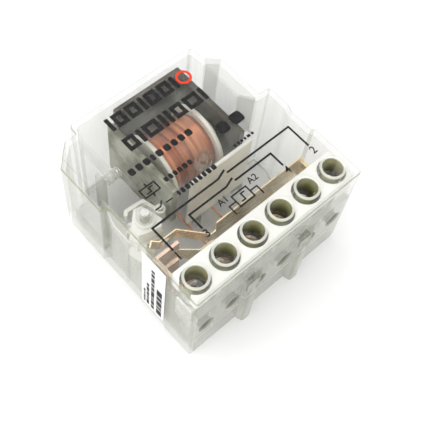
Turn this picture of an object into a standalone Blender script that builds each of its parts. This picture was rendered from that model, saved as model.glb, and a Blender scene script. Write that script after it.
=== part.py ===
"""Flush-box step relay: a clear housing with six screw terminals, a coil with a hinged armature, and a
ratchet wheel whose cams close two contacts. Plan sizes are millimetres from the cover's front left corner."""

import math

import bmesh
import bpy
from mathutils import Matrix, Vector

MM = 0.001

# Housing, in millimetres
WIDTH = 42.5
TOP = 26.3
WALL = 0.9
GAP = 0.3
COVER_FRONT_DROP = 8.0
MIDDLE = (20.75, 20.95)
BLOCK_FLOOR = 6.1
BOSS_RADIUS = 1.7
BOSS_LOW = 22.4
REAR_BOSS = (21.6, 22.2)
RIB = 0.6
COVER_CHAMFER = 0.25
BASE_FLOOR = 1.4
BASE_FRONT = 1.3
SIDE_CLEARANCE = 0.25

# Terminals
TERMINALS = ("1", "3", "a1", "a2", "4", "2")
TERMINAL_PITCH = 7.0
TERMINAL_X = 3.6
TERMINAL_Y = 4.3
WELL_RADIUS = 2.1
WELL_WALL = 0.5
WELL_DEPTH = 6.0
COLLAR_RISE = 0.25
INSULATOR_DEPTH = 6.8
INSULATOR_HEIGHT = 4.6
SCREW_HEAD_RADIUS = 1.8
SCREW_HEAD_TOP = 18.8
SCREW_HEAD_HEIGHT = 1.4
SCREW_RADIUS = 1.25
SCREW_TIP = 13.7
SLOT_WIDTH = 0.5
SLOT_DEPTH = 0.7
CROSS_WIDTH = 0.44
CROSS_LENGTH = 2.2
CAGE_WIDTH = 4.6
CAGE_LOW = 8.6
CAGE_HIGH = 16.8
CAGE_FRONT = 2.2
CAGE_BACK = 6.6
CAGE_SHEET = 0.9
ENTRY_Z = 11.3
ENTRY_RADIUS = 1.4
FUNNEL_RADIUS = 2.1
LATCH_X = (14.1, 28.1)
LATCH_DEPTH = 1.7
PARTITION = 0.7

# Magnet
COIL_Y = 30.6
COIL_Z = 16.3
CORE_LEFT = 15.3
CORE_RADIUS = 2.4
RIVET_RADIUS = 1.4
BOBBIN_HUB = 3.3
FLANGE_RADIUS = 7.8
WINDING_RADIUS = 6.5
BOBBIN_LEFT = 15.6
BOBBIN_RIGHT = 28.5
FLANGE = 0.9
YOKE_THICKNESS = 1.5
YOKE_LOW = 7.8
YOKE_HIGH = 24.3
YOKE_BACK_Y = 41.6
YOKE_LEG_X = 31.8
ARMATURE_X = 13.1
ARMATURE_THICKNESS = 1.4
ARMATURE_FRONT = 20.5
ARMATURE_HINGE = (14.9, 40.9)
NOSE_LENGTH = 6.5
NOSE_LOW = 12.2

# Step mechanism
WHEEL = (5.6, 20.6)
WHEEL_TEETH = 12
TOOTH_TIP = 3.6
TOOTH_ROOT = 2.75
CAM_LOBES = 3
CAM_HIGH = 3.3
CAM_LOW = 2.5
AXLE_RADIUS = 0.85
RUNNING_CLEARANCE = 0.08
PAWL_PIVOT = (11.0, 22.4)
PAWL_ARM = ((10.5, 22.9), (9.6, 26.0), (5.6, 26.3), (4.9, 25.55))
PAWL_LOW = 13.9
PAWL_HIGH = 16.9
PAWL_RADIUS = 1.1
PIN_RADIUS = 0.5
SPRING_COIL_RADIUS = 1.1
SPRING_WIRE_RADIUS = 0.16

# Contacts: (spring hinge, bends of the blade, lower edge, upper edge) for the upper and the lower pair
BLADE_THICKNESS = 0.25
CONTACT_X = 6.4
CONTACT_Y = 13.6
UPPER_PAIR = ((37.4, 10.6), (13.5, 10.6), 17.8, 20.8)
LOWER_PAIR = ((30.6, 12.2), (13.0, 12.2), 8.0, 12.0)
BLADE_END = ((9.0, 15.6), (5.0, 15.6), (3.9, 16.7), (2.8, 15.8))
STRAP_THICKNESS = 0.7
TAB_HALF_WIDTH = 1.0
CONTACT_RADIUS = 1.2
CONTACT_FACE_RADIUS = 0.9
UPPER_STIFFENER = ((37.2, 10.6), (14.5, 10.6))
STIFFENER_LOW = 15.0
STIFFENER_HIGH = 24.2

# Main outline of the housing, anticlockwise: (x, y, corner radius)
OUTLINE = (
    (0, 0, 0.6), (WIDTH, 0, 0.8), (WIDTH, 12.7, 0.7), (41.9, 13.5, 0.7), (41.9, 18.6, 0.7),
    (42.6, 20.4, 0.7), (42.6, 25.8, 0.8), (39.85, 26.0, 0), (39.85, 37.2, 0.8), (37.3, 39.5, 0),
    (37.0, 40.5, 0), (37.0, 43.6, 2.2), (5.9, 43.6, 2.2), (5.7, 41.2, 0), (3.2, 41.2, 0.8),
    (0.35, 38.4, 0.8), (0.35, 8.3, 0), (0, 7.5, 0),
)
# Side block that stands out from the left wall
BLOCK = ((0.8, 24.2, 0), (1.7, 39.5, 0), (-1.1, 36.9, 0.5), (-1.1, 25.2, 0.4))
BLOCK_DROP = 0.06
BLOCK_CAVITY = ((1.9, 26.2, 0), (1.9, 38.6, 0), (-0.2, 36.5, 0), (-0.2, 26.2, 0))

FINISHES = {
    "clear": ((0.86, 0.87, 0.82), 0.12, 0.0),
    "white": ((0.92, 0.92, 0.88), 0.45, 0.0),
    "milky": ((0.86, 0.86, 0.78), 0.4, 0.0),
    "ivory": ((0.87, 0.86, 0.78), 0.4, 0.0),
    "steel": ((0.62, 0.62, 0.60), 0.3, 1.0),
    "iron": ((0.12, 0.11, 0.10), 0.45, 1.0),
    "armature": ((0.42, 0.43, 0.36), 0.4, 1.0),
    "brass": ((0.85, 0.66, 0.32), 0.28, 1.0),
    "copper": ((0.80, 0.50, 0.34), 0.3, 1.0),
    "bronze": ((0.62, 0.40, 0.20), 0.35, 1.0),
    "silver": ((0.80, 0.79, 0.76), 0.25, 1.0),
    "wire": ((0.72, 0.28, 0.12), 0.35, 0.6),
    "label": ((0.88, 0.88, 0.85), 0.6, 0.0),
}


def place(x, y, z):
    """A point of the plan, in metres from the middle of the housing's underside."""
    return Vector(((x - MIDDLE[0]) * MM, (y - MIDDLE[1]) * MM, z * MM))


def terminal_x(index):
    return TERMINAL_X + index * TERMINAL_PITCH


def clear_scene():
    for obj in list(bpy.data.objects):
        bpy.data.objects.remove(obj, do_unlink=True)


def new_collection(name, hidden=False):
    collection = bpy.data.collections.new(name)
    collection.hide_render = hidden
    bpy.context.scene.collection.children.link(collection)
    return collection


def material(finish):
    name = f"{finish}_finish"
    if name in bpy.data.materials:
        return bpy.data.materials[name]
    colour, roughness, metallic = FINISHES[finish]
    made = bpy.data.materials.new(name)
    made.use_nodes = True
    shader = made.node_tree.nodes["Principled BSDF"]
    shader.inputs["Base Color"].default_value = (*colour, 1)
    shader.inputs["Roughness"].default_value = roughness
    shader.inputs["Metallic"].default_value = metallic
    if finish == "clear":
        shader.inputs["Alpha"].default_value = 0.35
    return made


def add_mesh(name, mesh):
    obj = bpy.data.objects.new(name, mesh)
    CUTTERS.objects.link(obj)
    obj.hide_render = True
    obj.display_type = "WIRE"
    return obj


def from_bmesh(name, shape):
    mesh = bpy.data.meshes.new(name)
    bmesh.ops.recalc_face_normals(shape, faces=shape.faces)
    shape.to_mesh(mesh)
    shape.free()
    return add_mesh(name, mesh)


def box(name, x, y, z):
    """A box between the two values of each of x, y and z."""
    shape = bmesh.new()
    low, high = place(x[0], y[0], z[0]), place(x[1], y[1], z[1])
    size = Matrix.Diagonal((*(high - low), 1))
    bmesh.ops.create_cube(shape, size=1, matrix=Matrix.Translation((low + high) / 2) @ size)
    return from_bmesh(name, shape)


def rod(name, start, end, radius, end_radius=None, segments=32):
    """A round bar or cone between two points of the plan."""
    start, end = place(*start), place(*end)
    turn = (end - start).to_track_quat("Z", "Y").to_matrix().to_4x4()
    shape = bmesh.new()
    bmesh.ops.create_cone(
        shape, cap_ends=True, segments=segments, radius1=radius * MM,
        radius2=(radius if end_radius is None else end_radius) * MM, depth=(end - start).length,
        matrix=Matrix.Translation((start + end) / 2) @ turn,
    )
    return from_bmesh(name, shape)


def corner_side(before, corner, after):
    """Above zero where an anticlockwise outline turns left."""
    return (corner - before).cross(after - corner)


def inset(corners, distance):
    """The outline moved inwards by distance."""
    moved = []
    for index, (x, y, radius) in enumerate(corners):
        corner = Vector((x, y))
        before = Vector(corners[index - 1][:2])
        after = Vector(corners[(index + 1) % len(corners)][:2])
        incoming, outgoing = (corner - before).normalized(), (after - corner).normalized()
        left_in, left_out = Vector((-incoming.y, incoming.x)), Vector((-outgoing.y, outgoing.x))
        bisector = (left_in + left_out).normalized()
        moved_corner = corner + bisector * (distance / bisector.dot(left_in))
        convex = corner_side(before, corner, after) > 0
        grown = radius - distance if convex else radius + distance
        moved.append((*moved_corner, max(grown, 0.1) if radius else 0))
    return moved


def rounded(corners, steps=5):
    """The outline's points, each corner with a radius turned into an arc."""
    points = []
    for index, (x, y, radius) in enumerate(corners):
        corner = Vector((x, y))
        if not radius:
            points.append(corner)
            continue
        before = Vector(corners[index - 1][:2])
        after = Vector(corners[(index + 1) % len(corners)][:2])
        to_before, to_after = (before - corner).normalized(), (after - corner).normalized()
        half = to_before.angle(to_after) / 2
        reach = min(radius / math.tan(half), 0.45 * min((before - corner).length, (after - corner).length))
        radius = reach * math.tan(half)
        middle = corner + (to_before + to_after).normalized() * (radius / math.sin(half))
        first, last = corner + to_before * reach - middle, corner + to_after * reach - middle
        turn = first.angle_signed(last)
        for step in range(steps + 1):
            points.append(middle + Matrix.Rotation(-turn * step / steps, 2) @ first)
    return points


def chamfer_top(mesh, size):
    """Draws in the rim of a prism's flat top and raises the top by the same amount."""
    shape = bmesh.new()
    shape.from_mesh(mesh)
    highest = max(vertex.co.z for vertex in shape.verts)
    lid = [face for face in shape.faces if all(vertex.co.z > highest - 1e-6 for vertex in face.verts)]
    lid = bmesh.ops.dissolve_faces(shape, faces=lid)["region"]
    bmesh.ops.inset_region(shape, faces=lid, thickness=size * MM, use_even_offset=True)
    bmesh.ops.translate(shape, verts=lid[0].verts, vec=(0, 0, size * MM))
    bmesh.ops.triangulate(shape, faces=lid)
    shape.to_mesh(mesh)
    shape.free()


def prism(name, corners, low, high, chamfer=0, steps=5):
    """A flat outline drawn as a filled 2D curve and given its height, with an optional chamfer on top."""
    high -= chamfer
    curve = bpy.data.curves.new(name, "CURVE")
    curve.dimensions = "2D"
    curve.fill_mode = "BOTH"
    curve.extrude = (high - low) / 2 * MM
    points = rounded(corners, steps)
    spline = curve.splines.new("POLY")
    spline.points.add(len(points) - 1)
    spline.use_cyclic_u = True
    for target, point in zip(spline.points, points):
        target.co = (*place(point.x, point.y, 0), 1)
    drawn = bpy.data.objects.new(name, curve)
    mesh = mesh_from(drawn)
    mesh.transform(Matrix.Translation((0, 0, (low + high) / 2 * MM)))
    if chamfer:
        chamfer_top(mesh, chamfer)
    return add_mesh(name, mesh)


def mesh_from(drawn):
    """A clean mesh of a curve object, which is then removed."""
    CUTTERS.objects.link(drawn)
    graph = bpy.context.evaluated_depsgraph_get()
    mesh = bpy.data.meshes.new_from_object(drawn.evaluated_get(graph))
    bpy.data.objects.remove(drawn, do_unlink=True)
    shape = bmesh.new()
    shape.from_mesh(mesh)
    bmesh.ops.remove_doubles(shape, verts=shape.verts, dist=1e-6)
    bmesh.ops.recalc_face_normals(shape, faces=shape.faces)
    shape.to_mesh(mesh)
    shape.free()
    return mesh


def strip(name, path, thickness, low, high):
    """A bent metal strip that stands on its edge along a path in the plan."""
    path = [Vector(point) for point in path]
    sides = {1: [], -1: []}
    for index, point in enumerate(path):
        ways = []
        if index:
            ways.append((point - path[index - 1]).normalized())
        if index < len(path) - 1:
            ways.append((path[index + 1] - point).normalized())
        normals = [Vector((-way.y, way.x)) for way in ways]
        bisector = sum(normals, Vector((0, 0))).normalized()
        for side, points in sides.items():
            points.append(point + bisector * (side * thickness / 2 / bisector.dot(normals[0])))
    outline = [(*point, 0) for point in sides[-1]] + [(*point, 0) for point in reversed(sides[1])]
    return prism(name, outline, low, high)


def turned(name, profile, start, toward, steps=48):
    """A profile of (distance, radius) pairs turned about the line from start toward a direction."""
    mesh = bpy.data.meshes.new(name)
    points = [(radius * MM, 0, distance * MM) for distance, radius in profile]
    edges = [(index, index + 1) for index in range(len(points) - 1)]
    if profile[0][1] > 0:
        edges.append((len(points) - 1, 0))
    mesh.from_pydata(points, edges, [])
    drawn = bpy.data.objects.new(name, mesh)
    screw = drawn.modifiers.new("turn", "SCREW")
    screw.steps = screw.render_steps = steps
    screw.use_merge_vertices = True
    screw.merge_threshold = 1e-6
    solid = mesh_from(drawn)
    turn = Vector(toward).to_track_quat("Z", "Y").to_matrix().to_4x4()
    solid.transform(Matrix.Translation(place(*start)) @ turn)
    return add_mesh(name, solid)


def tube(name, points, radius, resolution=2):
    """A round wire along a list of places."""
    curve = bpy.data.curves.new(name, "CURVE")
    curve.dimensions = "3D"
    curve.bevel_depth = radius * MM
    curve.bevel_resolution = resolution
    curve.use_fill_caps = True
    spline = curve.splines.new("POLY")
    spline.points.add(len(points) - 1)
    for target, point in zip(spline.points, points):
        target.co = (*place(*point), 1)
    return add_mesh(name, mesh_from(bpy.data.objects.new(name, curve)))


def combine(obj, tool, operation):
    modifier = obj.modifiers.new(tool.name, "BOOLEAN")
    modifier.operation = operation
    modifier.solver = "EXACT"
    modifier.object = tool


def add(obj, *tools):
    for tool in tools:
        combine(obj, tool, "UNION")


def cut(obj, *tools):
    for tool in tools:
        combine(obj, tool, "DIFFERENCE")


def soften(obj, width, segments=2):
    bevel = obj.modifiers.new("soft_edges", "BEVEL")
    bevel.width = width * MM
    bevel.segments = segments
    bevel.limit_method = "ANGLE"


def piece(obj, finish, pivot=None):
    """Turns a solid into a finished sub-part, with its origin on its joint's axis where it has one."""
    obj.data.materials.clear()
    obj.data.materials.append(material(finish))
    CUTTERS.objects.unlink(obj)
    PARTS.objects.link(obj)
    obj.hide_render = False
    obj.display_type = "SOLID"
    if pivot is not None:
        origin = place(*pivot)
        obj.data.transform(Matrix.Translation(-origin))
        obj.location = origin
    return obj


def make_cover():
    cover = prism("clear_cover", OUTLINE, 0, TOP, COVER_CHAMFER)
    block = prism("cover_block", BLOCK, BLOCK_FLOOR, TOP - BLOCK_DROP, COVER_CHAMFER)
    rib = box("cover_side_rib", (0.05, 0.6), (18.9, 19.5), (3, TOP - 0.6))
    add(cover, block, rib)
    ceiling = TOP - WALL
    cut(cover, prism("cover_cavity", inset(OUTLINE, WALL), -1, ceiling))
    cut(cover, prism("cover_block_cavity", BLOCK_CAVITY, BLOCK_FLOOR + WALL, ceiling))
    front_low = TOP - COVER_FRONT_DROP
    cut(cover, box("cover_front_window", (WALL, WIDTH - WALL), (-1, BASE_FRONT + GAP), (-1, front_low)))
    for index in range(len(TERMINALS)):
        x = terminal_x(index)
        well = rod(f"well_{index}", (x, TERMINAL_Y, TOP - WELL_DEPTH), (x, TERMINAL_Y, TOP + COLLAR_RISE),
                   WELL_RADIUS + WELL_WALL, segments=40)
        add(cover, well)
    for index, (x, y) in enumerate((WHEEL, REAR_BOSS)):
        add(cover, rod(f"boss_{index}", (x, y, BOSS_LOW), (x, y, ceiling + 0.4), BOSS_RADIUS, segments=24))
        cut(cover, rod(f"boss_bore_{index}", (x, y, BOSS_LOW - 1), (x, y, ceiling - 0.4), AXLE_RADIUS + 0.1,
                       segments=24))
    add(cover, strip("cover_left_rib", ((6.1, 43.2), (6.1, 30.5)), RIB, 21.5, ceiling + 0.4))
    add(cover, strip("cover_right_rib", ((36.6, 43.2), (36.6, 28.6), (39.0, 25.4)), RIB, 14, ceiling + 0.4))
    for x in LATCH_X:
        add(cover, box(f"latch_tongue_{x}", (x - 1.1, x + 1.1), (-0.75, 0.45), (14.9, front_low + 0.8)))
    for index in range(len(TERMINALS)):
        x = terminal_x(index)
        cut(cover, rod(f"well_bore_{index}", (x, TERMINAL_Y, 10), (x, TERMINAL_Y, TOP + 1), WELL_RADIUS,
                       segments=40))
    return piece(cover, "clear")


def make_base():
    inner = inset(OUTLINE, WALL + SIDE_CLEARANCE)
    base = prism("base_tray", inner, 0, BASE_FLOOR)
    inner_left, inner_right = WALL + SIDE_CLEARANCE, WIDTH - WALL - SIDE_CLEARANCE
    front_top = TOP - COVER_FRONT_DROP - GAP
    add(base, box("base_front", (inner_left, inner_right), (0, BASE_FRONT), (0, front_top)))
    for x in LATCH_X:
        hump = ((x - 1.6, 0.6, 0), (x - 1.2, -LATCH_DEPTH, 0.8), (x + 0.9, -LATCH_DEPTH, 1.2),
                (x + 4.2, 0.6, 0))
        add(base, prism(f"latch_hump_{x}", hump, 0, front_top))
        cut(base, box(f"latch_pocket_{x}", (x - 1.4, x + 1.4), (-1.05, 0.75), (14.6, TOP)))
    for index in range(len(TERMINALS) - 1):
        middle = terminal_x(index) + TERMINAL_PITCH / 2
        add(base, box(f"partition_{index}", (middle - PARTITION / 2, middle + PARTITION / 2),
                      (BASE_FRONT - 0.2, 6.7), (BASE_FLOOR - 0.2, 20)))
    for index in range(len(TERMINALS)):
        x = terminal_x(index)
        add(base, box(f"cage_seat_{index}", (x - 1.4, x + 1.4), (2.6, 6.2),
                      (BASE_FLOOR - 0.2, CAGE_LOW - GAP)))
        cut(base, rod(f"entry_{index}", (x, -1, ENTRY_Z), (x, 2, ENTRY_Z), ENTRY_RADIUS, segments=28))
        cut(base, rod(f"entry_funnel_{index}", (x, -0.1, ENTRY_Z), (x, 0.75, ENTRY_Z), FUNNEL_RADIUS,
                      ENTRY_RADIUS - 0.1, segments=28))
    seats = {
        "yoke_back_seat": ((18, 29), (40.9, 42.2), YOKE_LOW - GAP),
        "yoke_leg_seat": ((31.1, 32.5), (23, 39), YOKE_LOW - GAP),
        "spring_post": ((6.6, 7.4), (34.6, 37.4), 15.0),
        "barrier_seat_left": ((19.5, 21.0), (20.2, 21.4), 4.9),
        "barrier_seat_right": ((31.0, 33.0), (20.2, 21.4), 4.9),
        "detent_post": ((2.2, 3.6), (28.75, 30.4), 17.2),
    }
    for name, (x, y, high) in seats.items():
        add(base, box(name, x, y, (BASE_FLOOR - 0.2, high)))
    add(base, rod("axle_boss", (*WHEEL, BASE_FLOOR - 0.2), (*WHEEL, 6.4), 1.9, segments=24))
    cut(base, rod("axle_socket", (*WHEEL, 2), (*WHEEL, 8), AXLE_RADIUS + 0.1, segments=24))
    return piece(base, "clear")


def make_insulator():
    high = TOP - WALL - SIDE_CLEARANCE
    edge = WALL + SIDE_CLEARANCE
    block = box("terminal_insulator", (edge, WIDTH - edge), (edge, edge + INSULATOR_DEPTH),
                (high - INSULATOR_HEIGHT, high))
    soften(block, 0.2)
    for index in range(len(TERMINALS)):
        x = terminal_x(index)
        cut(block, rod(f"insulator_bore_{index}", (x, TERMINAL_Y, 15), (x, TERMINAL_Y, TOP + 1),
                       WELL_RADIUS + WELL_WALL + GAP, segments=40))
    return piece(block, "white")


def make_terminal(index):
    """One terminal: its cage, the screw and the plate that presses on the wire."""
    label, x, y = TERMINALS[index], terminal_x(index), TERMINAL_Y
    head_low = SCREW_HEAD_TOP - SCREW_HEAD_HEIGHT
    screw = rod(f"terminal_screw_{label}", (x, y, head_low), (x, y, SCREW_HEAD_TOP), SCREW_HEAD_RADIUS)
    soften(screw, 0.2)
    add(screw, rod(f"shank_{label}", (x, y, SCREW_TIP), (x, y, head_low + 0.3), SCREW_RADIUS, segments=24))
    slot_z = (SCREW_HEAD_TOP - SLOT_DEPTH, SCREW_HEAD_TOP + 1)
    cut(screw, box(f"slot_{label}", (x - 2.2, x + 2.2), (y - SLOT_WIDTH / 2, y + SLOT_WIDTH / 2), slot_z))
    cross_x = (x - CROSS_WIDTH / 2, x + CROSS_WIDTH / 2)
    cut(screw, box(f"cross_{label}", cross_x, (y - CROSS_LENGTH / 2, y + CROSS_LENGTH / 2),
                   (SCREW_HEAD_TOP - SLOT_DEPTH + 0.1, SCREW_HEAD_TOP + 1)))
    piece(screw, "steel", (x, y, head_low))

    cage = box(f"clamp_cage_{label}", (x - CAGE_WIDTH / 2, x + CAGE_WIDTH / 2), (CAGE_FRONT, CAGE_BACK),
               (CAGE_LOW, CAGE_HIGH))
    soften(cage, 0.25)
    window = CAGE_WIDTH / 2 - CAGE_SHEET + 0.15
    cut(cage, box(f"cage_window_{label}", (x - window, x + window), (CAGE_FRONT - 1, CAGE_BACK + 1),
                  (CAGE_LOW + CAGE_SHEET, CAGE_HIGH - 1.2)))
    cut(cage, rod(f"cage_thread_{label}", (x, y, CAGE_HIGH - 2), (x, y, CAGE_HIGH + 1), SCREW_RADIUS + 0.2,
                  segments=24))
    piece(cage, "steel")

    plate_high = SCREW_TIP - GAP
    plate = box(f"pressure_plate_{label}", (x - 1.25, x + 1.25), (CAGE_FRONT + 0.5, CAGE_BACK - 0.4),
                (plate_high - 0.6, plate_high))
    soften(plate, 0.12, 1)
    piece(plate, "steel", (x, y, plate_high))


def make_straps():
    """The copper straps that join the four contact terminals to the contacts."""
    left = terminal_x(0)
    strap_1 = strip("terminal_strap_1", ((11.6, 8.7), (2.3, 8.7), (2.3, CONTACT_Y), (7.9, CONTACT_Y)),
                    STRAP_THICKNESS, 15.4, 20.2)
    add(strap_1, box("strap_1_tab", (left - TAB_HALF_WIDTH, left + TAB_HALF_WIDTH), (CAGE_BACK + GAP, 8.7),
                     (15.4, 15.4 + STRAP_THICKNESS)))
    piece(strap_1, "copper")
    x = terminal_x(1)
    strap_3 = strip("terminal_strap_3", ((x, 9.8), (4.1, 9.8), (4.1, CONTACT_Y), (8.3, CONTACT_Y)),
                    STRAP_THICKNESS, 7.4, 12.2)
    add(strap_3, box("strap_3_tab", (x - TAB_HALF_WIDTH, x + STRAP_THICKNESS / 2), (CAGE_BACK + GAP, 9.8),
                     (8.7, 8.7 + STRAP_THICKNESS)))
    piece(strap_3, "copper")
    x = terminal_x(5)
    strap_2 = strip("terminal_strap_2", ((x, CAGE_BACK + GAP), (x, 11.3), (31.8, 11.3)),
                    STRAP_THICKNESS, 15.4, 20.2)
    piece(strap_2, "brass")
    x = terminal_x(4)
    strap_4 = strip("terminal_strap_4", ((x, CAGE_BACK + GAP), (x, 12.9), (26.0, 12.9)),
                    STRAP_THICKNESS, 8.0, 12.4)
    piece(strap_4, "brass")


def make_contact_pair(level, pair):
    """One moving blade with its contact, and the fixed contact that it meets."""
    hinge, bend, low, high = pair
    middle = (low + high) / 2
    blade = strip(f"contact_blade_{level}", (hinge, bend, *BLADE_END), BLADE_THICKNESS, low, high)
    if level == "upper":
        add(blade, strip("blade_stiffener", UPPER_STIFFENER, BLADE_THICKNESS, STIFFENER_LOW, STIFFENER_HIGH))
    piece(blade, "bronze", (*hinge, middle))
    blade_face = BLADE_END[1][1] - BLADE_THICKNESS / 2
    moving = rod(f"moving_contact_{level}", (CONTACT_X, blade_face - 0.05, middle),
                 (CONTACT_X, blade_face - 0.5, middle), CONTACT_RADIUS, CONTACT_FACE_RADIUS, 24)
    piece(moving, "silver", (*hinge, middle))
    strap_face = CONTACT_Y + STRAP_THICKNESS / 2
    fixed = rod(f"fixed_contact_{level}", (CONTACT_X, strap_face + 0.05, middle),
                (CONTACT_X, strap_face + 0.3, middle), CONTACT_RADIUS, CONTACT_FACE_RADIUS, 24)
    piece(fixed, "silver")


def make_magnet():
    yoke = strip("magnet_yoke", ((15.6, YOKE_BACK_Y), (YOKE_LEG_X, YOKE_BACK_Y), (YOKE_LEG_X, 22.0)),
                 YOKE_THICKNESS, YOKE_LOW, YOKE_HIGH)
    soften(yoke, 0.15, 1)
    cut(yoke, rod("core_hole", (29, COIL_Y, COIL_Z), (34, COIL_Y, COIL_Z), RIVET_RADIUS + 0.1, segments=24))
    piece(yoke, "iron")

    core_end = YOKE_LEG_X - YOKE_THICKNESS / 2 - GAP
    core_length = core_end - CORE_LEFT
    core = turned("magnet_core", (
        (0, 0), (0, CORE_RADIUS - 0.2), (0.2, CORE_RADIUS), (core_length, CORE_RADIUS),
        (core_length, RIVET_RADIUS), (YOKE_LEG_X + YOKE_THICKNESS / 2 + 0.35 - CORE_LEFT, RIVET_RADIUS),
        (YOKE_LEG_X + YOKE_THICKNESS / 2 + 0.35 - CORE_LEFT, 0)), (CORE_LEFT, COIL_Y, COIL_Z), (1, 0, 0), 32)
    piece(core, "iron")

    bore, length = CORE_RADIUS + 0.3, core_end - BOBBIN_LEFT
    right = BOBBIN_RIGHT - BOBBIN_LEFT
    bobbin = turned("coil_bobbin", (
        (0, bore), (0, FLANGE_RADIUS - 0.2), (0.2, FLANGE_RADIUS), (FLANGE - 0.2, FLANGE_RADIUS),
        (FLANGE, FLANGE_RADIUS - 0.2), (FLANGE, BOBBIN_HUB), (right - FLANGE, BOBBIN_HUB),
        (right - FLANGE, FLANGE_RADIUS - 0.2), (right - FLANGE + 0.2, FLANGE_RADIUS),
        (right - 0.2, FLANGE_RADIUS), (right, FLANGE_RADIUS - 0.2), (right, BOBBIN_HUB), (length, BOBBIN_HUB),
        (length, bore)), (BOBBIN_LEFT, COIL_Y, COIL_Z), (1, 0, 0), 48)
    piece(bobbin, "ivory")

    start, end = BOBBIN_LEFT + FLANGE + 0.1, BOBBIN_RIGHT - FLANGE - 0.1
    winding = turned("coil_winding", (
        (0, BOBBIN_HUB + 0.15), (0, WINDING_RADIUS - 0.3), (0.3, WINDING_RADIUS),
        (end - start - 0.3, WINDING_RADIUS), (end - start, WINDING_RADIUS - 0.3),
        (end - start, BOBBIN_HUB + 0.15)), (start, COIL_Y, COIL_Z), (1, 0, 0), 48)
    piece(winding, "wire")


def make_armature():
    half = ARMATURE_THICKNESS / 2
    armature = box("armature", (ARMATURE_X - half, ARMATURE_X + half), (ARMATURE_FRONT, 40.2),
                   (8.6, TOP - 2.4))
    soften(armature, 0.15, 1)
    cut(armature, box("nose_step", (ARMATURE_X - 1, ARMATURE_X + 1),
                      (ARMATURE_FRONT - 1, ARMATURE_FRONT + NOSE_LENGTH), (YOKE_LOW, NOSE_LOW)))
    face = ARMATURE_X - half
    pivot_x, pivot_y = PAWL_PIVOT
    add(armature, box("pawl_lug", (pivot_x - PAWL_RADIUS, face + 0.4), (pivot_y - 1.2, pivot_y + 1.2),
                      (PAWL_LOW - 1.2, PAWL_LOW - 0.3)))
    piece(armature, "armature", (*ARMATURE_HINGE, COIL_Z))

    pin = rod("pawl_pin", (*PAWL_PIVOT, PAWL_LOW - 0.25), (*PAWL_PIVOT, PAWL_HIGH + 0.7), PIN_RADIUS,
              segments=20)
    piece(pin, "steel", (*PAWL_PIVOT, PAWL_LOW))

    pawl = rod("drive_pawl", (*PAWL_PIVOT, PAWL_LOW), (*PAWL_PIVOT, PAWL_HIGH), PAWL_RADIUS, segments=28)
    add(pawl, strip("pawl_arm", PAWL_ARM, 0.75, PAWL_LOW + 0.2, PAWL_HIGH - 0.2))
    cut(pawl, rod("pawl_eye", (*PAWL_PIVOT, 10), (*PAWL_PIVOT, 20), PIN_RADIUS + RUNNING_CLEARANCE,
                  segments=20))
    piece(pawl, "milky", (*PAWL_PIVOT, PAWL_LOW))

    turns, spring_points = 7, []
    for step in range(turns * 12 + 1):
        angle = step / 12 * 2 * math.pi
        along = 8.0 + 3.9 * step / (turns * 12)
        across, up = SPRING_COIL_RADIUS * math.cos(angle), SPRING_COIL_RADIUS * math.sin(angle)
        spring_points.append((along, 36.0 + across, 13.0 + up))
    piece(tube("return_spring", spring_points, SPRING_WIRE_RADIUS), "steel")


def wheel_profile(count, tip, root, lead):
    """Saw-tooth or lobed edge: each tooth climbs from root to tip, then drops back within lead of a tooth."""
    corners = []
    for tooth in range(count):
        for share, radius in ((0, root), (1 - lead, tip), (1 - lead / 2, tip)):
            angle = 2 * math.pi * (tooth + share) / count
            corners.append((WHEEL[0] + radius * math.cos(angle), WHEEL[1] + radius * math.sin(angle), 0))
    return corners


def make_wheel():
    wheel = prism("ratchet_wheel", wheel_profile(WHEEL_TEETH, TOOTH_TIP, TOOTH_ROOT, 0.2), 13.8, 17.0)
    add(wheel, rod("wheel_hub", (*WHEEL, 6.8), (*WHEEL, 21.8), 1.9))
    for name, low, high, offset in (("upper_cam", 17.6, 20.9, 0), ("lower_cam", 7.6, 12.4, 1)):
        cam = prism(name, wheel_profile(CAM_LOBES, CAM_HIGH, CAM_LOW, 0.5), low, high)
        turn = Matrix.Rotation(offset * math.pi / CAM_LOBES, 4, "Z")
        centre = place(*WHEEL, 0)
        cam.data.transform(Matrix.Translation(centre) @ turn @ Matrix.Translation(-centre))
        add(wheel, cam)
    cut(wheel, rod("wheel_bore", (*WHEEL, 0), (*WHEEL, TOP), AXLE_RADIUS + RUNNING_CLEARANCE, segments=24))
    piece(wheel, "milky", (*WHEEL, 15.4))
    piece(rod("wheel_axle", (*WHEEL, 2.2), (*WHEEL, 24.4), AXLE_RADIUS, segments=24), "steel")
    detent = strip("detent_spring", ((2.75, 28.4), (1.8, 25.2), (1.8, 20.4)), 0.2, PAWL_LOW, PAWL_HIGH)
    piece(detent, "steel")


def make_coil_leads():
    for label, x in (("a1", terminal_x(2)), ("a2", terminal_x(3))):
        points = [
            (x, 6.9, 10.2), (x, 8.2, 7.2), (x + 0.1, 11.0, 4.4), (x + 0.2, 15.0, 3.4), (x + 0.2, 19.0, 3.2),
            (x + 0.1, 22.5, 3.6), (x, 25.0, 5.4), (x, 27.2, 8.2),
        ]
        piece(tube(f"coil_lead_{label}", points, 0.25), "wire")


def make_small_parts():
    barrier = box("insulating_barrier", (17.2, 33.6), (20.4, 21.2), (5.2, 22.0))
    soften(barrier, 0.2, 1)
    piece(barrier, "milky")
    piece(strip("side_label", ((0.2, 8.3), (0.2, 14.9)), 0.1, 1.6, 24.4), "label")


def smooth_parts():
    for obj in PARTS.objects:
        for polygon in obj.data.polygons:
            polygon.use_smooth = True
        obj.data.set_sharp_from_angle(angle=math.radians(35))


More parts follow.
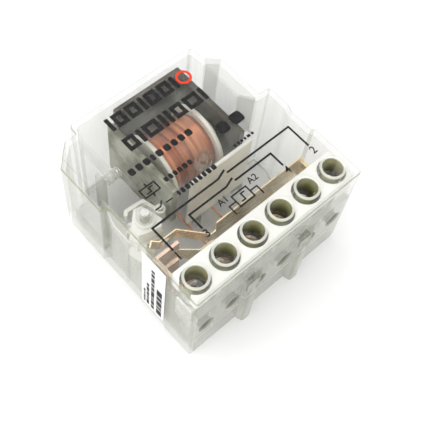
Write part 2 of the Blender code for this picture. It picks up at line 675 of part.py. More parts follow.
clear_scene()
PARTS = new_collection("step_relay")
CUTTERS = new_collection("cutters", hidden=True)
make_cover()
make_base()
make_insulator()
for terminal in range(len(TERMINALS)):
    make_terminal(terminal)
make_straps()
make_contact_pair("upper", UPPER_PAIR)
make_contact_pair("lower", LOWER_PAIR)
make_magnet()
make_armature()
make_wheel()
make_coil_leads()
make_small_parts()
smooth_parts()
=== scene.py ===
"""Looks for the clear-cased step relay. Plan sizes are millimetres from the housing's front left corner."""

import math
import random

import bmesh
import bpy
from mathutils import Matrix, Vector


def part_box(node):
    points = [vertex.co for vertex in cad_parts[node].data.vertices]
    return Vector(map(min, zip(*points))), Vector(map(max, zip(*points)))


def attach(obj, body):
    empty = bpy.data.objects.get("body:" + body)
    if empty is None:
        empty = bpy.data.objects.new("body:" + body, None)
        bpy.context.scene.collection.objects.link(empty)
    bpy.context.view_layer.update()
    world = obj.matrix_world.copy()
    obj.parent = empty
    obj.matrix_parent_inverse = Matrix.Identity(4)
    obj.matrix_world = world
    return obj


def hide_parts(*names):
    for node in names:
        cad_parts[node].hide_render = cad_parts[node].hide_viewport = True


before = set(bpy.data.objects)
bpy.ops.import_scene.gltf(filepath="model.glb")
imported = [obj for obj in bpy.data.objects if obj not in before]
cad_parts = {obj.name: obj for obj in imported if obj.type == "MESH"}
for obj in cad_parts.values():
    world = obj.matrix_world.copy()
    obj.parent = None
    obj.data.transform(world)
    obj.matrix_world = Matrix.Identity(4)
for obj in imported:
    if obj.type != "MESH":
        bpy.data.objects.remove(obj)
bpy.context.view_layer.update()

MM = 0.001
BODY = "housing"

FIRST_TERMINAL = (3.6, 4.3)
PITCH = 7.0
COLLAR_RISE = 0.25
COLLAR_EDGE = 2.7
WELL_EDGE = 2.13
WELL_LIP = 0.1
BORE_EDGE = 2.98
FACE_MARGIN = 0.02
ENTRY_Z = 11.3
ENTRY_EDGE = 2.14
ENTRY_DARK = 1.2
ENTRY_PALE = 2.2
FRONT_DEPTH = 1.4
PRINT_THICKNESS = 0.03
PRINT_LIFT = 0.012
LABEL_INK = 0.025

screw_low, screw_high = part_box("terminal_screw_1")
CORNER = Vector((
    (screw_low.x + screw_high.x) / 2 - FIRST_TERMINAL[0] * MM,
    (screw_low.y + screw_high.y) / 2 - FIRST_TERMINAL[1] * MM,
    0,
))
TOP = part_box("clear_cover")[1].z / MM - COLLAR_RISE


def place(x, y, z=0.0):
    """A point of the plan, in the frame's metres."""
    return CORNER + Vector((x, y, z)) * MM


# ---------------------------------------------------------------- materials


# A mix node's colour sockets, which come after those for numbers and vectors
MIX_INPUTS = (6, 7)
MIX_OUTPUT = 2


class Nodes:
    """A short way to write a node tree round one Principled shader."""

    def __init__(self, name, colour, roughness, metallic=0.0):
        self.material = bpy.data.materials.new(name)
        self.material.use_nodes = True
        self.tree = self.material.node_tree
        self.shader = self.tree.nodes["Principled BSDF"]
        self.position = self.node("ShaderNodeNewGeometry").outputs["Position"]
        self.put("Base Color", (*colour, 1))
        self.put("Roughness", roughness)
        self.put("Metallic", metallic)

    def node(self, kind, **settings):
        """Adds a node with its settings."""
        made = self.tree.nodes.new(kind)
        for key, value in settings.items():
            setattr(made, key, value)
        return made

    def link(self, source, target):
        """Feeds an input from a socket, or sets it to a plain value."""
        if isinstance(source, bpy.types.NodeSocket):
            self.tree.links.new(source, target)
        else:
            target.default_value = source

    def put(self, socket, value):
        """Feeds or sets one of the shader's own inputs."""
        self.link(value, self.shader.inputs[socket])

    def stretched(self, scale):
        """The position with each axis scaled, for grain that runs one way."""
        made = self.node("ShaderNodeMapping")
        made.inputs["Scale"].default_value = scale
        self.link(self.position, made.inputs["Vector"])
        return made.outputs["Vector"]

    def noise(self, scale, detail=3.0, stretch=(1, 1, 1)):
        made = self.node("ShaderNodeTexNoise")
        made.inputs["Scale"].default_value = scale
        made.inputs["Detail"].default_value = detail
        self.link(self.stretched(stretch), made.inputs["Vector"])
        return made.outputs["Fac"]

    def ramp(self, value, stops):
        made = self.node("ShaderNodeValToRGB")
        ramp = made.color_ramp
        while len(ramp.elements) < len(stops):
            ramp.elements.new(0.5)
        for element, (at, colour) in zip(ramp.elements, stops):
            element.position = at
            element.color = (*colour, 1)
        self.link(value, made.inputs["Fac"])
        return made.outputs["Color"]

    def span(self, value, low, high, to_low=0.0, to_high=1.0):
        """The value, mapped from low..high to to_low..to_high and held there beyond both."""
        made = self.node("ShaderNodeMapRange")
        for index, number in enumerate((low, high, to_low, to_high)):
            made.inputs[index + 1].default_value = number
        self.link(value, made.inputs["Value"])
        return made.outputs["Result"]

    def math(self, operation, *values):
        made = self.node("ShaderNodeMath", operation=operation)
        for index, value in enumerate(values):
            self.link(value, made.inputs[index])
        return made.outputs["Value"]

    def mix(self, factor, first, second):
        made = self.node("ShaderNodeMix", data_type="RGBA")
        self.link(factor, made.inputs["Factor"])
        for index, value in zip(MIX_INPUTS, (first, second)):
            self.link((*value, 1) if isinstance(value, tuple) else value, made.inputs[index])
        return made.outputs[MIX_OUTPUT]

    def axis(self, name):
        made = self.node("ShaderNodeSeparateXYZ")
        self.link(self.position, made.inputs["Vector"])
        return made.outputs[name]

    def bump(self, height, strength, distance):
        made = self.node("ShaderNodeBump")
        made.inputs["Strength"].default_value = strength
        made.inputs["Distance"].default_value = distance
        self.link(height, made.inputs["Height"])
        self.put("Normal", made.outputs["Normal"])


# The stretches of a noise texture's range that a look follows, and the depth of the finest surface texture
SOFT = (0.35, 0.7)
EVEN = (0.3, 0.7)
FINE_TEXTURE = 0.02 * MM


def scaled(colour, share):
    return tuple(channel * share for channel in colour)


def from_terminal(nodes, across):
    """Metres from the nearest terminal's axis. Across is the offset along the other direction."""
    along = nodes.math("SUBTRACT", nodes.axis("X"), place(*FIRST_TERMINAL).x - PITCH * MM / 2)
    cell = nodes.math("SUBTRACT", nodes.math("MODULO", along, PITCH * MM), PITCH * MM / 2)
    squares = [nodes.math("MULTIPLY", offset, offset) for offset in (cell, across)]
    return nodes.math("SQRT", nodes.math("ADD", *squares))


FACE_TINT = (0.76, 0.77, 0.69)
# The moulding's grey-green, darkened as painted shade for the dark lines along chamfers and rounded corners
RIM_TINT_AND_SHADE = (0.30, 0.32, 0.20)
RIM_ALPHA = 0.62
EDGE_ON_ALPHA = 0.62
FACING_BLEND = 0.35
FACING_POWER = 1.7
CHAMFER_UP = (0.2, 0.97)
SQUARE_SHARE = 0.99
CORNER_TURN = 0.85
CORNER_SHARE = 0.5
CLOUD_SHADE = 0.84
STREAKS = (0.45, 0.75)
PLASTIC_IOR = 1.5


def turned_share(nodes):
    """1 on chamfers, up to CORNER_SHARE on rounded corners, and 0 on faces that are square to an axis."""
    split = nodes.node("ShaderNodeSeparateXYZ")
    nodes.link(nodes.node("ShaderNodeNewGeometry").outputs["True Normal"], split.inputs["Vector"])
    x, y, z = (nodes.math("ABSOLUTE", side) for side in split.outputs)
    least, most = CHAMFER_UP
    chamfer = nodes.math("MULTIPLY", nodes.math("GREATER_THAN", z, least), nodes.math("LESS_THAN", z, most))
    largest = nodes.math("MAXIMUM", nodes.math("MAXIMUM", x, y), z)
    corner = nodes.span(largest, SQUARE_SHARE, CORNER_TURN)
    return nodes.math("MAXIMUM", chamfer, nodes.math("MULTIPLY", corner, CORNER_SHARE))


def clear_plastic(name, grain, face_alpha):
    """Clear moulding: nearly unseen face on and grey-green edge on; its rounded and chamfered edges take a
    dark grey-green that is the moulding's tint with painted shade.
    """
    nodes = Nodes(name, FACE_TINT, roughness=0.06)
    nodes.put("IOR", PLASTIC_IOR)
    smears = nodes.noise(scale=260, detail=4)
    nodes.put("Roughness", nodes.span(smears, 0.35, 0.75, to_low=0.03, to_high=0.14))
    cloud = nodes.noise(grain, stretch=(1, 1, 0.4))
    streaks = nodes.noise(grain * 2.2, stretch=(1, 1, 0.12))
    rim = nodes.node("ShaderNodeLayerWeight")
    rim.inputs["Blend"].default_value = FACING_BLEND
    facing = nodes.math("POWER", rim.outputs["Facing"], FACING_POWER)
    edge = nodes.span(facing, 0.0, 1.0, face_alpha, EDGE_ON_ALPHA)
    turned = turned_share(nodes)
    clouded = nodes.mix(nodes.span(cloud, *SOFT), scaled(FACE_TINT, CLOUD_SHADE), FACE_TINT)
    # Chamfers and rounded corners take the darker grey-green: the moulding's tint with painted shade
    colour = nodes.mix(turned, clouded, RIM_TINT_AND_SHADE)
    faint = nodes.math("ADD", nodes.span(cloud, *SOFT, to_low=-0.02, to_high=0.03),
                       nodes.span(streaks, *STREAKS, to_low=0.0, to_high=0.05))
    alpha = nodes.math("ADD", nodes.math("MAXIMUM", edge, nodes.math("MULTIPLY", turned, RIM_ALPHA)), faint)
    nodes.bump(nodes.noise(scale=90, detail=2, stretch=(1, 1, 0.35)), strength=0.12, distance=0.2 * MM)
    return nodes, colour, alpha


# Near white on the collars as a painted highlight, at the opacity COLLAR_ALPHA
COLLAR_PAINTED_HIGHLIGHT = (0.86, 0.87, 0.80)
COLLAR_ALPHA = 0.55
WELL_ALPHA = 0.88
# Painted reflection and shade in the screw wells: olive at the top of the insulator, nearly black at its foot
WELL_PAINTED_SHADE_RAMP = ((0.0, (0.03, 0.026, 0.006)), (0.45, (0.16, 0.15, 0.05)), (1.0, (0.42, 0.41, 0.20)))


def well_painted_shade(nodes):
    """Olive painted reflection that darkens down a screw well as painted shade."""
    low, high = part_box("terminal_insulator")
    return nodes.ramp(nodes.span(nodes.axis("Z"), low.z, high.z), WELL_PAINTED_SHADE_RAMP)


def cover_plastic():
    """The cover, with painted reflection and shade in its screw wells and a painted highlight on its collars.
    """
    nodes, colour, alpha = clear_plastic("clear_moulding", grain=110, face_alpha=0.03)
    distance = from_terminal(nodes, nodes.math("SUBTRACT", nodes.axis("Y"), place(*FIRST_TERMINAL).y))
    above = nodes.math("GREATER_THAN", nodes.axis("Z"), (TOP + FACE_MARGIN) * MM)
    below = nodes.math("LESS_THAN", nodes.axis("Z"), (TOP - WELL_LIP) * MM)
    well = nodes.math("MULTIPLY", nodes.math("LESS_THAN", distance, WELL_EDGE * MM), below)
    collar = nodes.math("MULTIPLY", above, nodes.math("LESS_THAN", distance, COLLAR_EDGE * MM))
    # The collars take the near-white painted highlight
    collar_highlighted = nodes.mix(collar, colour, COLLAR_PAINTED_HIGHLIGHT)
    # The wells take the olive painted reflection, darkening downwards as painted shade
    nodes.put("Base Color", nodes.mix(well, collar_highlighted, well_painted_shade(nodes)))
    alpha = nodes.math("MAXIMUM", alpha, nodes.math("MULTIPLY", well, WELL_ALPHA))
    nodes.put("Alpha", nodes.math("MAXIMUM", alpha, nodes.math("MULTIPLY", collar, COLLAR_ALPHA)))
    return nodes.material


FRONT_MILK = 0.42
ENTRY_ALPHA = 0.8
# Painted shade in the wire entries: nearly black at the middle, paler out to the rim
ENTRY_PAINTED_SHADE_RAMP = ((0.0, (0.05, 0.05, 0.035)), (0.55, (0.22, 0.22, 0.17)), (1.0, (0.62, 0.63, 0.55)))


def base_plastic():
    """The base, milky along its front, with painted shade in its countersunk wire entries."""
    nodes, colour, alpha = clear_plastic("clear_base_moulding", grain=150, face_alpha=0.06)
    distance = from_terminal(nodes, nodes.math("SUBTRACT", nodes.axis("Z"), ENTRY_Z * MM))
    front = nodes.math("LESS_THAN", nodes.axis("Y"), place(0, FRONT_DEPTH).y)
    entry = nodes.math("MULTIPLY", nodes.math("LESS_THAN", distance, ENTRY_EDGE * MM), front)
    # Painted shade, darkest in the middle of each entry
    shade = nodes.ramp(nodes.span(distance, ENTRY_DARK * MM, ENTRY_PALE * MM), ENTRY_PAINTED_SHADE_RAMP)
    nodes.put("Base Color", nodes.mix(entry, colour, shade))
    alpha = nodes.math("MAXIMUM", alpha, nodes.math("MULTIPLY", front, FRONT_MILK))
    nodes.put("Alpha", nodes.math("MAXIMUM", alpha, nodes.math("MULTIPLY", entry, ENTRY_ALPHA)))
    return nodes.material


def moulded(name, colour, roughness):
    """Opaque moulded plastic with a fine spark texture and slight colour drift."""
    nodes = Nodes(name, colour, roughness)
    drift = nodes.span(nodes.noise(scale=120), *SOFT)
    nodes.put("Base Color", nodes.mix(drift, scaled(colour, 0.9), colour))
    spark = nodes.noise(scale=900, detail=2)
    nodes.put("Roughness", nodes.span(spark, *EVEN, to_low=roughness - 0.08, to_high=roughness + 0.1))
    nodes.bump(nodes.noise(scale=2500, detail=2), strength=0.15, distance=FINE_TEXTURE)
    return nodes.material


def insulator_plastic():
    """White moulding, faintly yellower in the screw bores below its top."""
    nodes = Nodes("white_moulding", (0.9, 0.9, 0.87), roughness=0.4)
    distance = from_terminal(nodes, nodes.math("SUBTRACT", nodes.axis("Y"), place(*FIRST_TERMINAL).y))
    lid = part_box("terminal_insulator")[1].z - FACE_MARGIN * MM
    bore = nodes.math("MULTIPLY", nodes.math("LESS_THAN", distance, BORE_EDGE * MM),
                      nodes.math("LESS_THAN", nodes.axis("Z"), lid))
    drift = nodes.span(nodes.noise(scale=140), *SOFT)
    white = nodes.mix(drift, (0.86, 0.86, 0.82), (0.93, 0.93, 0.90))
    nodes.put("Base Color", nodes.mix(bore, white, (0.88, 0.88, 0.82)))
    nodes.put("Roughness", nodes.span(nodes.noise(scale=800, detail=2), *EVEN, to_low=0.34, to_high=0.5))
    nodes.bump(nodes.noise(scale=2200, detail=2), strength=0.12, distance=FINE_TEXTURE)
    return nodes.material


# The stretch of a noise texture's range that stains a metal, and a higher one that stains less of it
STAINS = (0.45, 0.75)
FEW_STAINS = (0.5, 0.85)


def metal(name, colour, dark, roughness, stretch=(1, 1, 1), stain=STAINS):
    """Rolled or turned metal: fine lines one way, with stains that dull it."""
    nodes = Nodes(name, colour, roughness, metallic=1.0)
    lines = nodes.noise(scale=1500, stretch=stretch)
    stains = nodes.span(nodes.noise(scale=260, detail=4), *stain)
    base = nodes.mix(nodes.span(lines, *EVEN), scaled(colour, 0.92), colour)
    nodes.put("Base Color", nodes.mix(stains, base, dark))
    dulled = nodes.span(stains, 0, 1, to_low=roughness, to_high=roughness + 0.18)
    lined = nodes.span(lines, *EVEN, to_low=-0.05, to_high=0.06)
    nodes.put("Roughness", nodes.math("ADD", dulled, lined))
    nodes.bump(lines, strength=0.07, distance=FINE_TEXTURE)
    return nodes.material


WIRE_RAMP = ((0.3, (0.24, 0.055, 0.022)), (0.5, (0.50, 0.15, 0.06)), (0.7, (0.78, 0.33, 0.16)))
DARK_LACQUER = (0.30, 0.08, 0.03)


def copper_winding():
    """Enamelled wire: fine turns across the coil, lighter and darker bands, darker lacquer in patches."""
    nodes = Nodes("enamelled_wire", (0.62, 0.22, 0.10), roughness=0.32, metallic=0.75)
    bands = nodes.noise(scale=900, stretch=(1, 0.05, 0.05))
    patches = nodes.noise(scale=150, detail=4, stretch=(1, 0.5, 0.5))
    lacquer = nodes.span(patches, 0.5, 0.8, to_low=0, to_high=0.7)
    nodes.put("Base Color", nodes.mix(lacquer, nodes.ramp(bands, WIRE_RAMP), DARK_LACQUER))
    nodes.put("Roughness", nodes.span(patches, *EVEN, to_low=0.24, to_high=0.45))
    nodes.put("Coat Weight", 0.4)
    nodes.bump(bands, strength=0.5, distance=0.08 * MM)
    return nodes.material


def ink(name, colour):
    """Pad-printed ink, slightly uneven."""
    nodes = Nodes(name, colour, roughness=0.5)
    nodes.put("Specular IOR Level", 0.12)
    thin = nodes.span(nodes.noise(scale=1800), 0.35, 0.75, to_low=0, to_high=0.35)
    paler = tuple(min(1, channel + 0.06) for channel in colour)
    nodes.put("Base Color", nodes.mix(thin, colour, paler))
    nodes.put("Roughness", nodes.span(nodes.noise(scale=1200, detail=2), *EVEN, to_low=0.42, to_high=0.6))
    return nodes.material


def paper():
    """Matt label paper with fine fibres."""
    nodes = Nodes("label_stock", (0.88, 0.88, 0.86), roughness=0.62)
    fibres = nodes.noise(scale=3500, detail=4)
    nodes.put("Base Color", nodes.mix(nodes.span(fibres, *EVEN), (0.82, 0.82, 0.80), (0.90, 0.90, 0.88)))
    nodes.put("Roughness", nodes.span(fibres, *EVEN, to_low=0.55, to_high=0.72))
    nodes.bump(fibres, strength=0.15, distance=FINE_TEXTURE)
    return nodes.material


# Stretches whose grain runs along one axis
ALONG_X = (0.1, 1, 1)
ALONG_Y = (1, 0.1, 1)
ALONG_Z = (1, 1, 0.1)


def make_materials():
    """Every material, by the short name that the tables use. A metal has a bright and a stained colour."""
    return {
        "clear": cover_plastic(),
        "clear_base": base_plastic(),
        "white": insulator_plastic(),
        "ivory": moulded("ivory_nylon", (0.80, 0.78, 0.68), 0.4),
        "milky": moulded("milky_nylon", (0.80, 0.80, 0.74), 0.38),
        "steel": metal("bright_steel", (0.74, 0.74, 0.72), (0.56, 0.55, 0.52), 0.22, ALONG_X),
        "iron": metal("soft_iron", (0.085, 0.068, 0.058), (0.025, 0.019, 0.016), 0.34, ALONG_Z),
        "armature": metal("passivated_steel", (0.36, 0.36, 0.28), (0.12, 0.125, 0.08), 0.32, ALONG_Y),
        "brass": metal("bright_brass", (0.98, 0.80, 0.40), (0.72, 0.50, 0.18), 0.22, ALONG_X),
        "copper": metal("copper_strip", (0.95, 0.72, 0.58), (0.66, 0.38, 0.24), 0.26, ALONG_X),
        "bronze": metal("spring_bronze", (1.0, 0.80, 0.48), (0.86, 0.60, 0.30), 0.26, ALONG_X, FEW_STAINS),
        "silver": metal("contact_silver", (0.86, 0.85, 0.81), (0.45, 0.43, 0.38), 0.25),
        "winding": copper_winding(),
        "lead": metal("lead_wire", (0.70, 0.28, 0.13), (0.38, 0.12, 0.05), 0.3, ALONG_Y),
        "black_ink": ink("black_ink", (0.012, 0.012, 0.012)),
        "red_ink": ink("red_ink", (0.72, 0.05, 0.02)),
        "label": paper(),
    }


# Each node's material, by its name or by its name without the last part
NODE_MATERIALS = {
    "clear_cover": "clear", "base_tray": "clear_base", "terminal_insulator": "white", "coil_bobbin": "ivory",
    "magnet_yoke": "iron", "magnet_core": "iron", "armature": "armature", "pawl_pin": "steel",
    "drive_pawl": "milky", "ratchet_wheel": "milky", "insulating_barrier": "milky", "wheel_axle": "steel",
    "return_spring": "steel", "detent_spring": "steel", "coil_lead_a1": "lead", "coil_lead_a2": "lead",
    "side_label": "label", "terminal_strap_1": "copper", "terminal_strap_3": "copper",
    "terminal_strap_2": "brass", "terminal_strap_4": "brass", "contact_blade_upper": "bronze",
    "contact_blade_lower": "bronze", "moving_contact_upper": "silver", "moving_contact_lower": "silver",
    "fixed_contact_upper": "silver", "fixed_contact_lower": "silver", "terminal_screw": "steel",
    "clamp_cage": "steel", "pressure_plate": "steel",
}


def dress_nodes(materials):
    """Gives every CAD node its detailed material, but for the coil's ring, which wound_coil replaces."""
    for name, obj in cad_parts.items():
        stem = name if name in NODE_MATERIALS else name.rsplit("_", 1)[0]
        if stem not in NODE_MATERIALS:
            continue
        obj.data.materials.clear()
        obj.data.materials.append(materials[NODE_MATERIALS[stem]])


# ---------------------------------------------------------------- pieces


def add_piece(name, shape, material):
    """Makes a piece of the housing from a finished shape."""
    mesh = bpy.data.meshes.new(name)
    bmesh.ops.recalc_face_normals(shape, faces=shape.faces)
    shape.to_mesh(mesh)
    shape.free()
    mesh.materials.append(material)
    obj = bpy.data.objects.new(name, mesh)
    bpy.context.scene.collection.objects.link(obj)
    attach(obj, BODY)
    return obj


# The winding. HUB_SHARE to SHOULDER_DROP are shares of its radius, SHOULDER_WIDTH is a share of its length,
# and WANDER and END_MARGIN are millimetres
COIL_TURNS = 34
TURN_STEPS = 4
COIL_SIDES = 72
COIL_SEED = 7
HUB_SHARE = 0.53
END_SHARE = 0.955
TURN_SWELL = 0.0065
TURN_DIP = 0.011
SHOULDER_DROP = 0.045
SHOULDER_WIDTH = 0.04
WANDER = 0.05
WANDER_WAVES = 3
END_MARGIN = 0.1


def coil_profile(low, high, radius):
    """The winding's section as (x, radius) points: rounded turns, slightly uneven, with rounded ends."""
    dice = random.Random(COIL_SEED)
    swell = [dice.uniform(0, TURN_SWELL) for _ in range(COIL_TURNS)]
    hub = radius * HUB_SHARE
    profile = [(low.x, hub)]
    for turn in range(COIL_TURNS):
        for step in range(TURN_STEPS):
            share = (turn + step / TURN_STEPS) / COIL_TURNS
            dip = TURN_DIP * (1 - abs(math.sin(math.pi * step / TURN_STEPS)))
            edge = min(share, 1 - share)
            shoulder = SHOULDER_DROP * max(0, 1 - edge / SHOULDER_WIDTH) ** 2
            profile.append((low.x + (high.x - low.x) * share, radius * (1 - dip - swell[turn] - shoulder)))
    return profile + [(high.x, radius * END_SHARE), (high.x, hub)]


def wound_coil(material):
    """The winding as rows of rounded turns that wander slightly, inside its CAD ring."""
    low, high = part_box("coil_winding")
    centre = (low + high) / 2
    profile = coil_profile(low, high, (high.z - low.z) / 2)
    shape = bmesh.new()
    rings = []
    for step in range(COIL_SIDES):
        angle = 2 * math.pi * step / COIL_SIDES
        lean = WANDER * MM * math.sin(WANDER_WAVES * angle)
        ring = []
        for x, radius in profile:
            inner = low.x + END_MARGIN * MM < x < high.x - END_MARGIN * MM
            ring.append(shape.verts.new((x + (lean if inner else 0), centre.y + radius * math.cos(angle),
                                         centre.z + radius * math.sin(angle))))
        rings.append(ring)
    for ring, after in zip(rings, rings[1:] + rings[:1]):
        for index in range(len(profile)):
            following = (index + 1) % len(profile)
            shape.faces.new((ring[index], ring[following], after[following], after[index]))
    coil = add_piece("wound_wire", shape, material)
    for polygon in coil.data.polygons:
        polygon.use_smooth = True
    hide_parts("coil_winding")


def close_plate(shape, lower, upper):
    """Faces between two rims of the same outline."""
    shape.faces.new(upper)
    shape.faces.new(list(reversed(lower)))
    for index in range(len(lower)):
        after = (index + 1) % len(lower)
        shape.faces.new((lower[index], lower[after], upper[after], upper[index]))


def top_plate(shape, outline):
    """Adds a thin plate on the housing's top for a closed outline of plan points."""
    rims = []
    for z in (TOP + PRINT_LIFT, TOP + PRINT_LIFT + PRINT_THICKNESS):
        rims.append([shape.verts.new(place(x, y, z)) for x, y in outline])
    close_plate(shape, *rims)


def hollow_block(shape, x0, x1, y0, y1, stroke):
    """Four plain strips along the inside of a rectangle."""
    for left, right, near, far in ((x0, x1, y0, y0 + stroke), (x0, x1, y1 - stroke, y1),
                                   (x0, x0 + stroke, y0 + stroke, y1 - stroke),
                                   (x1 - stroke, x1, y0 + stroke, y1 - stroke)):
        top_plate(shape, ((left, near), (right, near), (right, far), (left, far)))


def line_outline(path, width):
    """The outline of a printed line with mitred corners."""
    path = [Vector(point) for point in path]
    left, right = [], []
    for index, point in enumerate(path):
        ways = []
        if index:
            ways.append((point - path[index - 1]).normalized())
        if index < len(path) - 1:
            ways.append((path[index + 1] - point).normalized())
        normals = [Vector((-way.y, way.x)) for way in ways]
        bisector = sum(normals, Vector((0, 0))).normalized()
        reach = width / 2 / bisector.dot(normals[0])
        left.append(point + bisector * reach)
        right.append(point - bisector * reach)
    return [tuple(point) for point in right] + [tuple(point) for point in reversed(left)]


ARC_STEPS = 4
LEAST_SIDE_IN_RADII = 2.01


def soft_bar(x0, x1, y0, y1, radius):
    """A rectangle with round corners, as plan points."""
    radius = min(radius, (x1 - x0) / LEAST_SIDE_IN_RADII, (y1 - y0) / LEAST_SIDE_IN_RADII)
    points = []
    for cx, cy, start in ((x1 - radius, y0 + radius, -90), (x1 - radius, y1 - radius, 0),
                          (x0 + radius, y1 - radius, 90), (x0 + radius, y0 + radius, 180)):
        for step in range(ARC_STEPS + 1):
            angle = math.radians(start + 90 * step / ARC_STEPS)
            points.append((cx + radius * math.cos(angle), cy + radius * math.sin(angle)))
    return points


LINE_WIDTH = 0.42
FINE_LINE = 0.3
OUTER_LINE = 16.45
INNER_LINE = 14.25
LINES = {
    "outer_left": ((3.9, 10.7), (3.9, OUTER_LINE), (20.0, OUTER_LINE), (22.2, 17.25)),
    "outer_right": ((22.2, OUTER_LINE), (38.6, OUTER_LINE), (38.6, 10.8)),
    "inner_left": ((10.8, 10.6), (10.8, INNER_LINE), (20.0, INNER_LINE), (22.2, 15.0)),
    "inner_right": ((22.2, INNER_LINE), (31.6, INNER_LINE), (31.6, 10.8)),
    "coil_lead_left": ((19.3, 10.8), (17.6, 10.8), (17.6, 8.8)),
    "coil_lead_right": ((22.9, 10.8), (24.6, 10.8), (24.6, 8.8)),
    "coil_step": ((20.2, 10.1), (21.1, 10.1), (21.1, 11.5), (22.0, 11.5)),
    "symbol_lead_high": ((8.7, 23.8), (8.7, 24.5)),
    "symbol_lead_low": ((8.7, 21.9), (8.7, 21.2)),
    "symbol_step": ((7.7, 22.4), (8.7, 22.4), (8.7, 23.3), (9.7, 23.3)),
    "contact_left": ((6.7, 18.9), (8.0, 18.9), (8.9, 19.8)),
    "contact_right": ((9.3, 18.9), (10.8, 18.9)),
}
FINE_NAMES = ("symbol", "contact", "coil")
BOXES = {"coil_box": (19.3, 22.9, 9.5, 12.1), "symbol_box": (7.0, 10.4, 21.9, 23.8)}


def diagram(material):
    """The wiring diagram printed on the top."""
    for name, path in LINES.items():
        shape = bmesh.new()
        top_plate(shape, line_outline(path, FINE_LINE if name.startswith(FINE_NAMES) else LINE_WIDTH))
        add_piece(f"print_{name}", shape, material)
    for name, (x0, x1, y0, y1) in BOXES.items():
        shape = bmesh.new()
        half = FINE_LINE / 2
        hollow_block(shape, x0 - half, x1 + half, y0 - half, y1 + half, FINE_LINE)
        add_piece(f"print_{name}", shape, material)


# Text, x, y and size
MARKS = (("1", 3.9, 9.3, 2.6), ("3", 10.8, 9.4, 2.4), ("4", 31.6, 9.5, 2.4), ("2", 38.6, 9.5, 2.4),
         ("A1", 17.5, 12.4, 2.0), ("A2", 25.0, 12.4, 2.0))
MARK_BOLDNESS = 0.02
WELD_DISTANCE = 1e-7


def mark_mesh(name, text, size):
    """The mesh of a centred mark."""
    letters = bpy.data.curves.new(name, "FONT")
    letters.body = text
    letters.size = size * MM
    letters.offset = MARK_BOLDNESS * MM
    letters.align_x = "CENTER"
    letters.align_y = "CENTER"
    letters.extrude = PRINT_THICKNESS / 2 * MM
    drawn = bpy.data.objects.new("letters", letters)
    bpy.context.scene.collection.objects.link(drawn)
    graph = bpy.context.evaluated_depsgraph_get()
    mesh = bpy.data.meshes.new_from_object(drawn.evaluated_get(graph))
    bpy.data.objects.remove(drawn, do_unlink=True)
    return mesh


def terminal_marks(material):
    """Terminal numbers by the wells."""
    middle = TOP + PRINT_LIFT + PRINT_THICKNESS / 2
    for text, x, y, size in MARKS:
        name = f"print_mark_{text.lower()}"
        shape = bmesh.new()
        shape.from_mesh(mark_mesh(name, text, size))
        bmesh.ops.remove_doubles(shape, verts=shape.verts, dist=WELD_DISTANCE)
        bmesh.ops.transform(shape, matrix=Matrix.Translation(place(x, y, middle)), verts=shape.verts)
        add_piece(name, shape, material)


# Plain blocks where the real cover has bold lettering: x, y, height and the widths along the row
BOLD_ROWS = {
    "bold_high": (11.6, 37.0, 3.2, (0.9, 2.7, 2.7, 0.9, 2.7, 2.7, 0.9)),
    "bold_low": (11.4, 31.4, 3.2, (2.7, 0.9, 3.4, 0.9, 0.9, 2.7, 3.4, 0.9)),
}
BOLD_STROKE = 0.85
BOLD_GAP = 0.6
SOLID_BELOW = 1.0
BOLD_ROUND = 0.2


def bold_rows(material):
    """Rows of solid narrow blocks and hollow wide ones."""
    for name, (x, y, height, widths) in BOLD_ROWS.items():
        shape = bmesh.new()
        for width in widths:
            if width < SOLID_BELOW:
                top_plate(shape, soft_bar(x, x + width, y, y + height, BOLD_ROUND))
            else:
                hollow_block(shape, x, x + width, y, y + height, BOLD_STROKE)
            x += width + BOLD_GAP
        add_piece(f"print_{name}", shape, material)


# Plain bars where it has smaller lettering and marks: x, y, height, the widths along the row and the gap
BAR_ROWS = {
    "type_row": (7.9, 27.1, 1.5, (1.3, 1.3, 1.3, 0.8, 1.4, 1.4, 1.2, 1.3, 1.4), 0.5),
    "rating_high": (12.1, 22.1, 1.1, (0.8, 0.8, 0.8, 0.9, 1.0, 0.9), 0.3),
    "rating_low": (12.1, 18.4, 1.1, (0.6, 0.8, 0.9, 0.5, 0.8, 0.8, 0.8, 0.9, 1.0), 0.3),
    "small_row": (27.2, 19.6, 0.6, (0.7, 0.5, 0.6, 0.5, 0.8, 0.6), 0.3),
    "side_pair": (27.4, 23.2, 2.6, (2.4, 2.8), 1.0),
}
BAR_ROUND = 0.28


def bar_rows(material):
    """Rows of bars with round corners, whose radius follows the row's height."""
    for name, (x, y, height, widths, gap) in BAR_ROWS.items():
        shape = bmesh.new()
        for width in widths:
            top_plate(shape, soft_bar(x, x + width, y, y + height, height * BAR_ROUND))
            x += width + gap
        add_piece(f"print_{name}", shape, material)


RING_CENTRE = (30.6, 38.4)
RING_OUTER = 1.7
RING_INNER = 1.15
RING_SIDES = 40


def red_ring(material):
    """A plain red ring beside the bold blocks."""
    shape = bmesh.new()
    rings = []
    for radius, lift in ((RING_OUTER, 0), (RING_OUTER, PRINT_THICKNESS),
                         (RING_INNER, PRINT_THICKNESS), (RING_INNER, 0)):
        ring = []
        for step in range(RING_SIDES):
            angle = 2 * math.pi * step / RING_SIDES
            ring.append(shape.verts.new(place(RING_CENTRE[0] + radius * math.cos(angle),
                                              RING_CENTRE[1] + radius * math.sin(angle),
                                              TOP + PRINT_LIFT + lift)))
        rings.append(ring)
    for ring, after in zip(rings, rings[1:] + rings[:1]):
        for step in range(RING_SIDES):
            following = (step + 1) % RING_SIDES
            shape.faces.new((ring[step], ring[following], after[following], after[step]))
    add_piece("print_red_ring", shape, material)


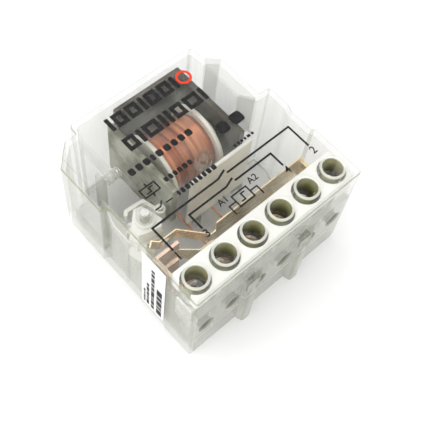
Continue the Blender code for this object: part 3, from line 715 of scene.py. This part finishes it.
# The side label's lines: y, width across the line and the lengths of its bars
LABEL_ROWS = (
    (9.0, 1.5, (2.4, 1.0, 2.2, 1.6, 2.6)),
    (11.2, 0.9, (1.4, 1.8, 1.0, 2.6, 1.5, 1.2, 2.0, 1.4, 1.0)),
    (12.7, 0.7, (2.2, 1.0, 1.6, 2.0, 1.2)),
    (13.8, 0.5, (1.0, 1.4, 0.8, 1.2)),
)
LABEL_MARGIN = 1.2
LABEL_GAP = 0.55


def label_rows(material):
    """Plain bars on the side label, in lines that run up the wall."""
    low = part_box("side_label")[0]
    outer = low.x - PRINT_LIFT * MM
    shape = bmesh.new()
    for y, width, lengths in LABEL_ROWS:
        z = low.z / MM + LABEL_MARGIN
        for length in lengths:
            corners = ((y, z), (y, z + length), (y + width, z + length), (y + width, z))
            rims = []
            for x in (outer, outer - LABEL_INK * MM):
                rims.append([shape.verts.new((x, CORNER.y + across * MM, up * MM)) for across, up in corners])
            close_plate(shape, *rims)
            z += length + LABEL_GAP
    add_piece("label_print", shape, material)


# ---------------------------------------------------------------- stage

FLOOR_REACH = 1.5
FLOOR_GAP = 0.02

# Each lamp's place and size in metres and its power in watts
LAMPS = {"key": ((-0.12, 0.14, 0.42), 0.50, 0.9), "fill": ((-0.34, -0.20, 0.25), 0.40, 0.4)}
LAMP_TARGET = (0, 0, 0.012)
SKY_STRENGTH = 0.95

CAMERA_PLACE = (-0.05927, -0.05284, 0.15314)
CAMERA_ANGLES = (27.956, -4.559, -42.316)
LENS = 66.1
SENSOR_WIDTH = 36


def make_floor():
    """A plain pale floor just under the object."""
    mesh = bpy.data.meshes.new("floor")
    shape = bmesh.new()
    bmesh.ops.create_grid(shape, x_segments=1, y_segments=1, size=FLOOR_REACH)
    shape.to_mesh(mesh)
    shape.free()
    floor = bpy.data.objects.new("floor", mesh)
    floor.location.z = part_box("base_tray")[0].z - FLOOR_GAP * MM
    nodes = Nodes("floor_white", (0.93, 0.93, 0.93), roughness=0.6)
    nodes.put("Specular IOR Level", 0.2)
    mesh.materials.append(nodes.material)
    bpy.context.scene.collection.objects.link(floor)


def area_light(name, location, size, power):
    """A round lamp that faces the object."""
    light = bpy.data.lights.new(name, "AREA")
    light.shape = "DISK"
    light.size = size
    light.energy = power
    obj = bpy.data.objects.new(name, light)
    obj.location = location
    obj.rotation_mode = "QUATERNION"
    obj.rotation_quaternion = (Vector(LAMP_TARGET) - Vector(location)).to_track_quat("-Z", "Y")
    bpy.context.scene.collection.objects.link(obj)


def make_studio():
    """A white world with two soft lamps."""
    world = bpy.data.worlds.new("studio")
    world.use_nodes = True
    background = world.node_tree.nodes["Background"]
    background.inputs["Color"].default_value = (1, 1, 1, 1)
    background.inputs["Strength"].default_value = SKY_STRENGTH
    bpy.context.scene.world = world
    for name, (location, size, power) in LAMPS.items():
        area_light(name, location, size, power)
    bpy.context.scene.view_settings.view_transform = "Standard"


def make_camera():
    """The camera, in front of the object, to its left and above."""
    data = bpy.data.cameras.new("camera")
    data.sensor_width = SENSOR_WIDTH
    data.lens = LENS
    data.clip_start = 0.01
    data.clip_end = 10
    camera = bpy.data.objects.new("camera", data)
    camera.location = CAMERA_PLACE
    camera.rotation_euler = tuple(math.radians(angle) for angle in CAMERA_ANGLES)
    bpy.context.scene.collection.objects.link(camera)
    bpy.context.scene.camera = camera


MATERIALS = make_materials()
dress_nodes(MATERIALS)
wound_coil(MATERIALS["winding"])
diagram(MATERIALS["black_ink"])
terminal_marks(MATERIALS["black_ink"])
bold_rows(MATERIALS["black_ink"])
bar_rows(MATERIALS["black_ink"])
red_ring(MATERIALS["red_ink"])
label_rows(MATERIALS["black_ink"])
make_floor()
make_studio()
make_camera()
